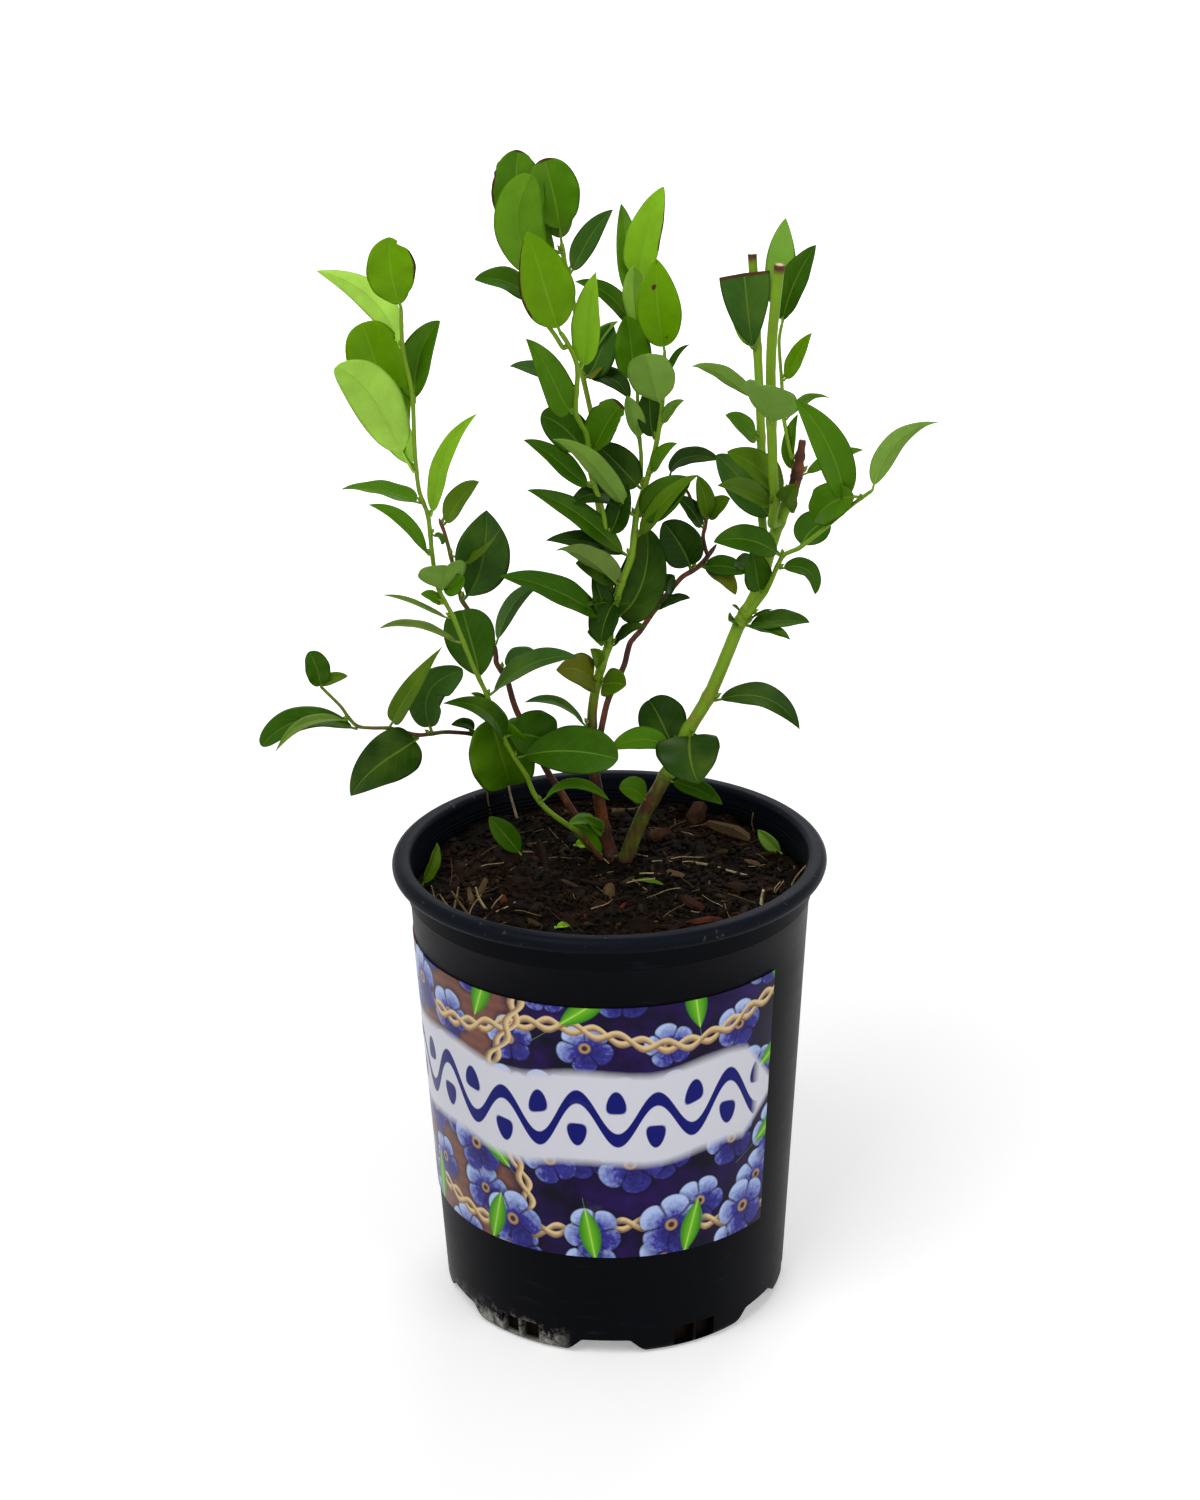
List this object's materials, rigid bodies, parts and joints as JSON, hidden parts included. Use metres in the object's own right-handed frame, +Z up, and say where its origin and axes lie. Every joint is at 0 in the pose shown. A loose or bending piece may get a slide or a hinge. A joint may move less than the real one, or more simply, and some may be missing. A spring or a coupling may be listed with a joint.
{
  "type": "potted blueberry bush",
  "caption": "Young blueberry bush with upright leafy canes, growing in dark bark mix in a round black nursery pot with a printed band.",
  "frame": {"origin": "centre of the pot's underside, on the pot's axis and on the surface that it stands on", "axes": "+Z up along the pot's axis, -Y towards the front of the pot where the printed label faces, +X to the right as seen from the front"},
  "size_m": [0.2469, 0.17, 0.4468],
  "materials": {
    "pot_plastic": "satin black blow-moulded plastic, slightly blue",
    "label_film": "printed film in mauve, indigo, pale blue, tan and green, semi-gloss, no lettering",
    "growing_mix": "moist dark brown bark and peat, matte",
    "crown_bark": "rough brown bark, matte",
    "stem_green": "young green bark, reddish at the foot, satin",
    "stem_woody": "red-brown bark, matte",
    "leaf_fresh": "young bright green leaf, satin",
    "leaf_mid": "mid green leaf, satin",
    "leaf_dark": "dark green leaf, satin",
    "leaf_blue": "bluish green leaf, satin",
    "leaf_olive": "olive green leaf, satin",
    "leaf_pale": "pale green leaf underside, matte"
  },
  "bodies": {
    "root": {"back_cane": "stem_woody", "back_cane_leaf_1": "leaf_blue", "front_shoot": "stem_green", "front_shoot_leaf_1": "leaf_dark", "front_shoot_leaf_2": "leaf_olive", "front_shoot_leaf_3": "leaf_mid", "front_shoot_leaf_4": "leaf_fresh", "front_shoot_leaf_5": "leaf_olive", "left_cane": "stem_green", "left_cane_leaf_1": "leaf_fresh", "left_cane_leaf_10": "leaf_mid", "left_cane_leaf_11": "leaf_mid", "left_cane_leaf_12": "leaf_dark", "left_cane_leaf_13": "leaf_mid", "left_cane_leaf_2": "leaf_pale", "left_cane_leaf_3": "leaf_pale", "left_cane_leaf_4": "leaf_mid", "left_cane_leaf_5": "leaf_fresh", "left_cane_leaf_6": "leaf_olive", "left_cane_leaf_7": "leaf_mid", "left_cane_leaf_8": "leaf_dark", "left_cane_leaf_9": "leaf_blue", "low_side_twig": "stem_woody", "low_side_twig_leaf_1": "leaf_olive", "low_side_twig_leaf_2": "leaf_blue", "low_side_twig_leaf_3": "leaf_dark", "low_side_twig_leaf_4": "leaf_blue", "low_side_twig_leaf_5": "leaf_dark", "main_cane": "stem_green", "main_cane_fork": "stem_green", "main_cane_fork_leaf_1": "leaf_fresh", "main_cane_leaf_1": "leaf_mid", "main_cane_leaf_2": "leaf_pale", "main_cane_leaf_3": "leaf_dark", "main_cane_leaf_4": "leaf_pale", "main_cane_leaf_5": "leaf_pale", "main_cane_leaf_6": "leaf_fresh", "nursery_pot": "pot_plastic", "pot_label": "label_film", "potting_mix": "growing_mix", "pruned_stem_left": "stem_green", "pruned_stem_left_leaf_1": "leaf_blue", "pruned_stem_right": "stem_green", "pruned_stem_right_leaf_1": "leaf_olive", "pruned_stem_right_leaf_2": "leaf_pale", "right_cane": "stem_green", "right_cane_leaf_1": "leaf_dark", "right_cane_leaf_2": "leaf_dark", "right_cane_leaf_3": "leaf_mid", "right_side_branch": "stem_green", "right_side_branch_leaf_1": "leaf_pale", "right_side_branch_leaf_2": "leaf_mid", "right_side_branch_leaf_3": "leaf_mid", "root_crown": "crown_bark", "top_shoot": "stem_green", "top_shoot_leaf_1": "leaf_dark", "top_shoot_leaf_2": "leaf_mid", "top_shoot_leaf_3": "leaf_pale", "woody_branch": "stem_woody", "woody_branch_leaf_1": "leaf_dark"}
  },
  "joints": []
}
